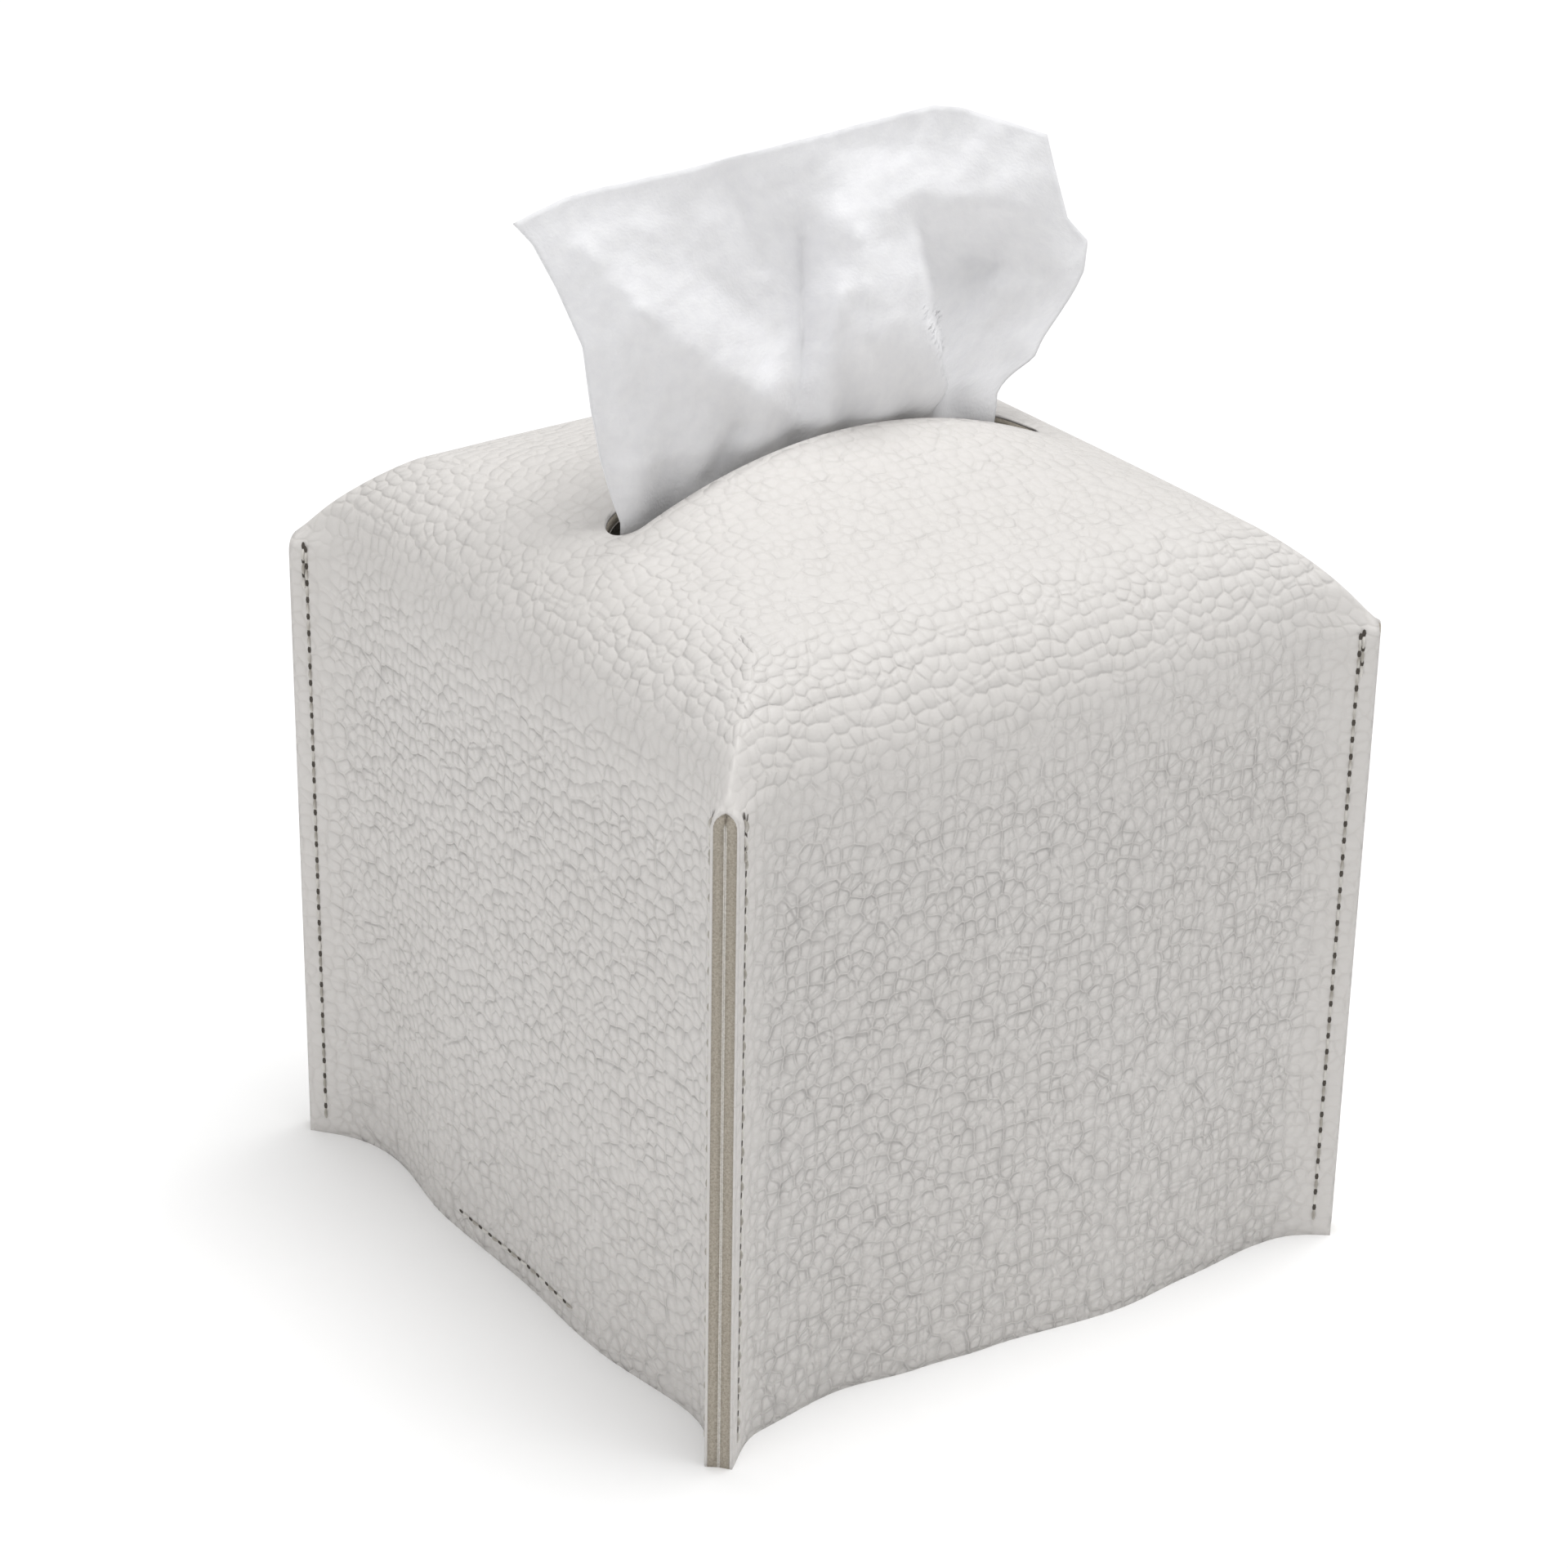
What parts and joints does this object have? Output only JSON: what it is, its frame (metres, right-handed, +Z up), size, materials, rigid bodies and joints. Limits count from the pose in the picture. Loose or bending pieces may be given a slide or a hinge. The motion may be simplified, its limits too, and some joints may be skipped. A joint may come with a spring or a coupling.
{
  "type": "tissue box cover",
  "caption": "Soft leather cover for a cube pack of tissues, with a slot in the raised top, sewn fins at the corners and a closing belt across the open base",
  "frame": {"origin": "on the table, under the middle of the cover", "axes": "+Z up, the tissue slot along X, the front panel towards -Y"},
  "size_m": [0.1332, 0.1332, 0.191],
  "materials": {
    "grained_leather": "pebble grained PU on felt backing, matte",
    "belt_leather": "grained PU, matte",
    "sewing_thread": "twisted polyester thread",
    "hook_tape": "nylon hook tape",
    "loop_tape": "nylon loop tape",
    "tissue_paper": "soft two ply tissue"
  },
  "bodies": {
    "cover": {"leather_cover": "grained_leather", "seam_thread_front_left": "sewing_thread", "seam_thread_front_right": "sewing_thread", "seam_thread_back_left": "sewing_thread", "seam_thread_back_right": "sewing_thread", "strap_root": "belt_leather", "tab_root": "belt_leather", "strap_thread": "sewing_thread", "tab_thread": "sewing_thread"},
    "belt_strap": {"strap": "belt_leather", "hook_patch": "hook_tape", "hook_patch_thread": "sewing_thread"},
    "belt_tab": {"tab": "belt_leather", "loop_patch": "loop_tape", "loop_patch_thread": "sewing_thread"},
    "tissue": {"tissue_sheet": "tissue_paper"}
  },
  "joints": [
    {"name": "strap_swing", "type": "hinge", "parent": "cover", "child": "belt_strap", "pos_m": [-0.05849, 0, 0.0015], "axis": [0, 1, 0], "range_deg": [0, 90]},
    {"name": "tab_swing", "type": "hinge", "parent": "cover", "child": "belt_tab", "pos_m": [0.05849, 0, 0.00585], "axis": [0, -1, 0], "range_deg": [0, 90]},
    {"name": "tissue_pull", "type": "slide", "parent": "cover", "child": "tissue", "axis": [0, 0, 1], "range_m": [0, 0.07]}
  ],
  "couplings": [
    {"joint": "tab_swing", "follows": "strap_swing", "ratio": 1}
  ]
}
